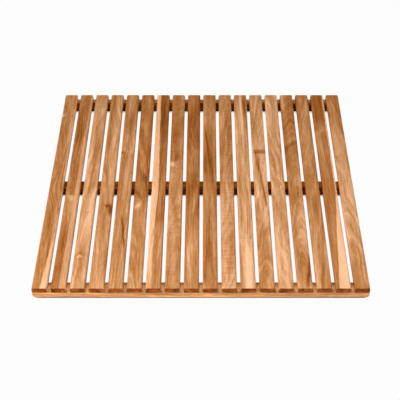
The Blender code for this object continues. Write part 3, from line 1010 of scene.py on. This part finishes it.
class BATHMAT_OT_rails(bpy.types.Operator):
    """Model the cross rails under the slats"""

    bl_idname = "bath_mat.rails"
    bl_label = "Rails"

    def execute(self, context):
        scene = context.scene
        fixings = scene.mat_fixings
        low, high = corners("rail_front")
        first = model_rail("teak_first_rail", low, high, *corners("grip_strip_front"), scene.mat_timber,
                           fixings.clearance)
        screw_low, screw_high = corners("screw_front_01")
        crossing = (screw_low + screw_high) / 2
        bits = model_bit(screw_low, screw_high, crossing, fixings)
        repeat(bits, len(SLAT_NODES), (corners(SLAT_NODES[1])[0].x - corners(SLAT_NODES[0])[0].x, 0, 0))
        combine(first, bits, "DIFFERENCE")
        smooth(first)
        for index, where in enumerate(RAIL_PLACES):
            node = f"rail_{where}"
            node_low, node_high = corners(node)
            piece = copy_to(first, f"teak_{node}", node_low - low)
            material = make_teak(f"Oiled teak, {node}", RAIL_LOOKS[where], (node_low + node_high) / 2, True,
                                 40 + index)
            finish_piece(piece, [node], material)
        bpy.data.objects.remove(first)
        return {"FINISHED"}


class BATHMAT_OT_grip_strips(bpy.types.Operator):
    """Model the rubber strips that the mat stands on"""

    bl_idname = "bath_mat.grip_strips"
    bl_label = "Grip strips"

    def execute(self, context):
        rubber = make_rubber()
        low, high = corners("grip_strip_front")
        first = model_strip("rubber_first_strip", low, high, context.scene.mat_fixings)
        for where in RAIL_PLACES:
            node = f"grip_strip_{where}"
            piece = copy_to(first, f"rubber_{node}", corners(node)[0] - low)
            finish_piece(piece, [node], rubber)
        bpy.data.objects.remove(first)
        return {"FINISHED"}


class BATHMAT_OT_screws(bpy.types.Operator):
    """Model the screws that hold each slat to the rails"""

    bl_idname = "bath_mat.screws"
    bl_label = "Screws"

    def execute(self, context):
        steel = make_steel()
        low, high = corners("screw_front_01")
        first = model_screw("steel_first_screw", low, high, context.scene.mat_fixings)
        for where in RAIL_PLACES:
            rail_low, rail_high = corners(f"rail_{where}")
            for index, slat in enumerate(SLAT_NODES):
                slat_low, slat_high = corners(slat)
                move = Vector(((slat_low.x + slat_high.x - low.x - high.x) / 2,
                               (rail_low.y + rail_high.y - low.y - high.y) / 2, 0))
                node = f"screw_{where}_{index + 1:02d}"
                piece = copy_to(first, f"steel_{node}", move)
                # The middle rail's screws have no node of their own
                finish_piece(piece, [node] if where in SCREWED_RAILS else [], steel)
        bpy.data.objects.remove(first)
        return {"FINISHED"}


class BATHMAT_OT_stage(bpy.types.Operator):
    """Lay the floor, hang the lights and set the camera"""

    bl_idname = "bath_mat.stage"
    bl_label = "Studio"

    def execute(self, context):
        settings = context.scene.mat_stage
        bpy.ops.object.select_all(action="DESELECT")
        bpy.ops.mesh.primitive_plane_add(size=FLOOR_WIDTH, location=(0, 0, CAD_BOX[0].z - FLOOR_DROP))
        floor = context.active_object
        floor.name = "floor"
        paper = bpy.data.materials.new("Pale paper floor")
        paper.use_nodes = True
        tree = paper.node_tree
        tree.nodes.remove(tree.nodes["Principled BSDF"])
        # To the camera it is an even white glow, with painted shade from ambient occlusion where the mat
        # closes it in
        shade = 1.0
        for distance, samples, closed, opened, dark, light in (FOOT_SHADE, UNDER_SHADE):
            open_sky = add(tree, "ShaderNodeAmbientOcclusion", {"Distance": distance}, samples=samples)
            level = add(tree, "ShaderNodeMapRange",
                        {0: open_sky.outputs["AO"], 1: closed, 2: opened, 3: dark, 4: light})
            shade = add(tree, "ShaderNodeMath", {0: level, 1: shade}, operation="MULTIPLY")
        lit = add(tree, "ShaderNodeEmission", {"Color": WHITE, "Strength": shade})
        # The mat itself gets the soft light of matt paper
        matt = add(tree, "ShaderNodeBsdfDiffuse", {"Color": (*settings.floor_colour, 1)})
        glow = add(tree, "ShaderNodeEmission", {"Color": WHITE, "Strength": FLOOR_GLOW})
        glowing = add(tree, "ShaderNodeAddShader", {0: matt, 1: glow})
        seen = add(tree, "ShaderNodeLightPath")
        mixed = add(tree, "ShaderNodeMixShader", {0: seen.outputs["Is Camera Ray"], 1: glowing, 2: lit})
        tree.links.new(mixed.outputs[0], tree.nodes["Material Output"].inputs["Surface"])
        floor.data.materials.append(paper)

        world = bpy.data.worlds.new("Pale studio")
        context.scene.world = world
        world.use_nodes = True
        tree = world.node_tree
        seen = add(tree, "ShaderNodeLightPath")
        # Pale walls light the mat from the sides, under a darker ceiling
        way = add(tree, "ShaderNodeTexCoord")
        climb = add(tree, "ShaderNodeSeparateXYZ", {0: way.outputs["Generated"]})
        walls = add(tree, "ShaderNodeMapRange",
                    {0: climb.outputs["Z"], 1: 0.35, 2: 0.7, 3: WALLS, 4: CEILING})
        level = add(tree, "ShaderNodeMath", {0: seen.outputs["Is Camera Ray"], 1: walls}, operation="MAXIMUM")
        backdrop = tree.nodes["Background"]
        backdrop.inputs["Color"].default_value = WHITE
        tree.links.new(level.outputs[0], backdrop.inputs["Strength"])

        for name, place, size, power in SOFTBOXES:
            lamp = bpy.data.lights.new(name, "AREA")
            lamp.shape = "SQUARE"
            lamp.size = size
            lamp.energy = power
            holder = bpy.data.objects.new(name, lamp)
            holder.location = place
            holder.rotation_euler = (-Vector(place)).to_track_quat("-Z", "Y").to_euler()
            context.collection.objects.link(holder)

        lens = bpy.data.cameras.new("studio camera")
        lens.sensor_width = SENSOR_MM
        lens.lens = LENS_MM
        lens.shift_x = LENS_SHIFT
        camera = bpy.data.objects.new("studio camera", lens)
        camera.location = (settings.camera_side, -settings.camera_back, CAD_BOX[1].z + settings.camera_height)
        camera.rotation_euler = (math.radians(90) - settings.camera_down, 0.0, 0.0)
        context.collection.objects.link(camera)
        context.scene.camera = camera
        context.scene.view_settings.view_transform = "Standard"
        return {"FINISHED"}


class BATHMAT_PT_sidebar(bpy.types.Panel):
    """The bath mat's pieces, in the order they are built"""

    bl_idname = "BATHMAT_PT_sidebar"
    bl_label = "Bath mat"
    bl_space_type = "VIEW_3D"
    bl_region_type = "UI"
    bl_category = "Bath mat"

    def draw(self, context):
        for operator in OPERATORS:
            self.layout.operator(operator.bl_idname)


OPERATORS = (BATHMAT_OT_slats, BATHMAT_OT_rails, BATHMAT_OT_grip_strips, BATHMAT_OT_screws,
             BATHMAT_OT_stage)
SETTINGS = (MatTimberSettings, MatFixingSettings, MatStageSettings)
CLASSES = (*SETTINGS, *OPERATORS, BATHMAT_PT_sidebar)


def register():
    for cls in CLASSES:
        bpy.utils.register_class(cls)
    bpy.types.Scene.mat_timber = bpy.props.PointerProperty(type=MatTimberSettings)
    bpy.types.Scene.mat_fixings = bpy.props.PointerProperty(type=MatFixingSettings)
    bpy.types.Scene.mat_stage = bpy.props.PointerProperty(type=MatStageSettings)


def unregister():
    del bpy.types.Scene.mat_stage
    del bpy.types.Scene.mat_fixings
    del bpy.types.Scene.mat_timber
    for cls in reversed(CLASSES):
        bpy.utils.unregister_class(cls)


def main():
    register()
    bpy.ops.bath_mat.slats()
    bpy.ops.bath_mat.rails()
    bpy.ops.bath_mat.grip_strips()
    bpy.ops.bath_mat.screws()
    bpy.ops.bath_mat.stage()


if __name__ == "__main__":
    main()
